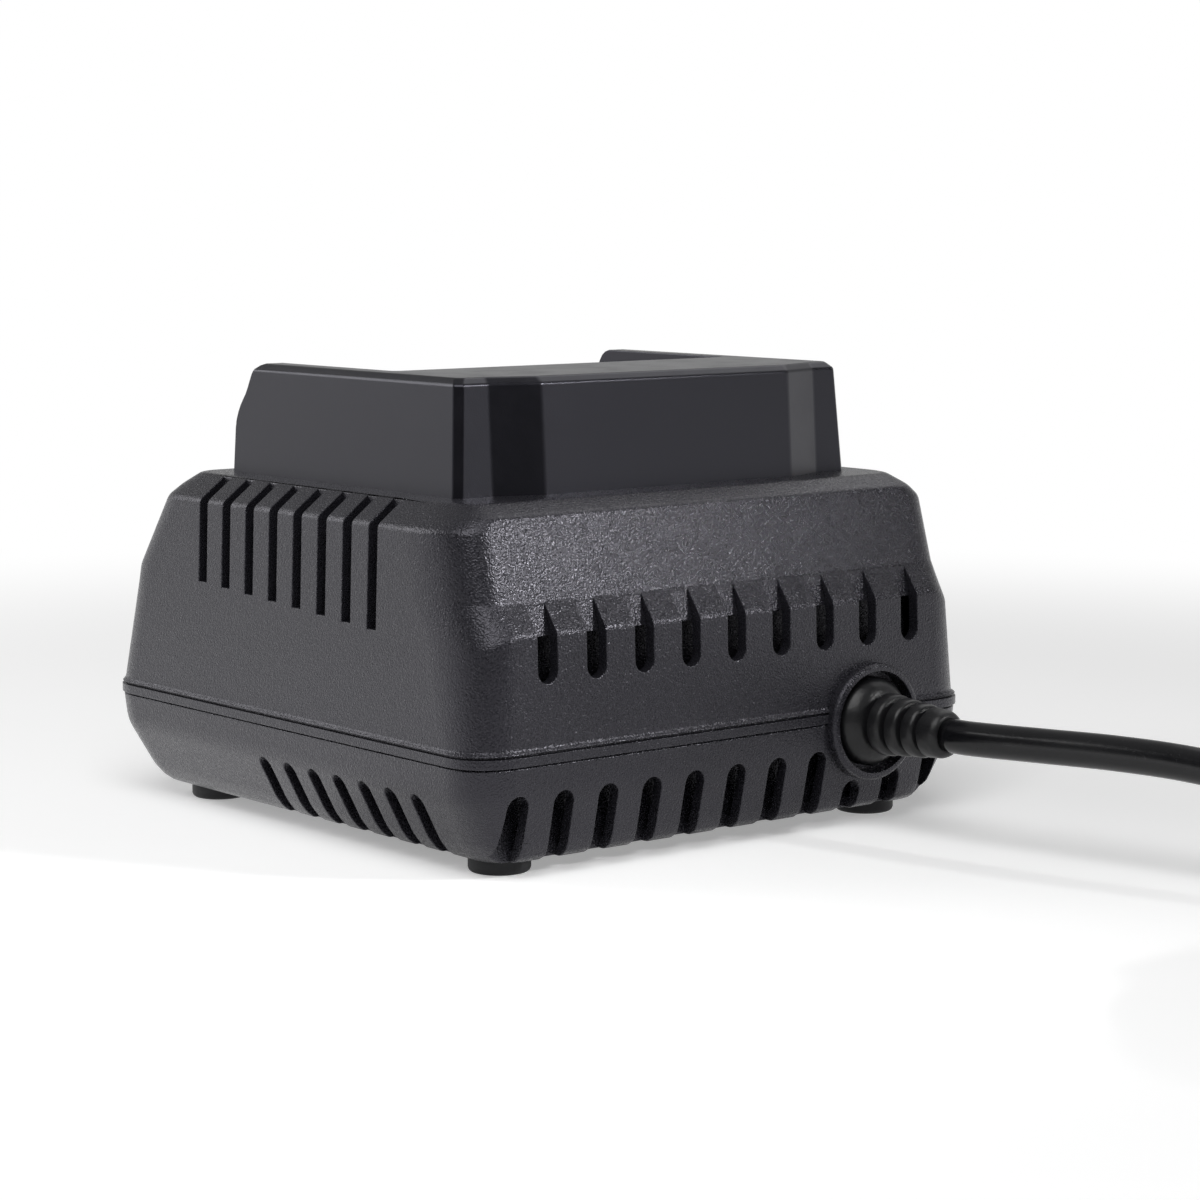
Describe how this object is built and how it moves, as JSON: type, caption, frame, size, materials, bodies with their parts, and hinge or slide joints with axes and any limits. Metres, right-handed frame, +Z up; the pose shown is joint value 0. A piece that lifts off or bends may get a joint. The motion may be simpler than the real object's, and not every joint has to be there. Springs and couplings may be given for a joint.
{
  "type": "power tool battery charger",
  "caption": "Mains charger with a vented two-part housing, a U-shaped slide-in dock for a tool battery, rubber feet and a corded plug.",
  "frame": {"origin": "middle of the charger's footprint, on the surface that its feet stand on", "axes": "+Z up, +Y towards the cord side, -Y towards the open front of the dock, +X towards the left side seen from the cord side"},
  "size_m": [0.139, 0.3916, 0.1],
  "materials": {
    "housing": "fine spark-eroded grain",
    "dock": "smooth satin",
    "black_plastic": "satin",
    "contact_metal": "plated",
    "light_pipe": "clear",
    "led": "clear",
    "board": "solder mask",
    "ferrite": "ground ferrite",
    "tape": "polyester tape",
    "capacitor_sleeve": "shrink sleeve",
    "copper": "enamelled wire",
    "ceramic": "glazed ceramic",
    "heat_sink": "extruded",
    "screw_steel": "zinc plated",
    "rubber": "matte",
    "soft_black": "soft PVC",
    "lead_red": "PVC insulation",
    "pin_metal": "nickel plated"
  },
  "bodies": {
    "charger": {"upper_housing": "housing", "lower_housing": "housing", "battery_dock": "dock", "terminal_block": "black_plastic", "contact_blades": "contact_metal", "light_pipes": "light_pipe", "indicator_board": "board", "indicator_leds": "led", "main_board": "board", "transformer_core": "ferrite", "transformer_winding": "tape", "bulk_capacitor": "capacitor_sleeve", "output_capacitors": "capacitor_sleeve", "filter_choke": "copper", "x_capacitor": "tape", "fuse": "ceramic", "primary_heat_sink": "heat_sink", "secondary_heat_sink": "heat_sink", "switching_transistor": "black_plastic", "output_rectifier": "black_plastic", "control_chips": "black_plastic", "fan_frame": "black_plastic", "housing_screws": "screw_steel", "dock_screws": "screw_steel", "board_screws": "screw_steel", "rubber_feet": "rubber", "strain_relief": "soft_black", "cord_clamp": "black_plastic", "clamp_screws": "screw_steel", "cord_inner_end": "soft_black", "output_leads": "lead_red", "power_cord": "soft_black", "cord_coil": "soft_black", "plug_body": "soft_black", "plug_pins": "pin_metal"},
    "fan": {"fan_rotor": "black_plastic"}
  },
  "joints": [
    {"name": "fan_spin", "type": "hinge", "parent": "charger", "child": "fan", "pos_m": [0.0545, 0.001, 0.0529], "axis": [1, 0, 0], "continuous": true}
  ]
}
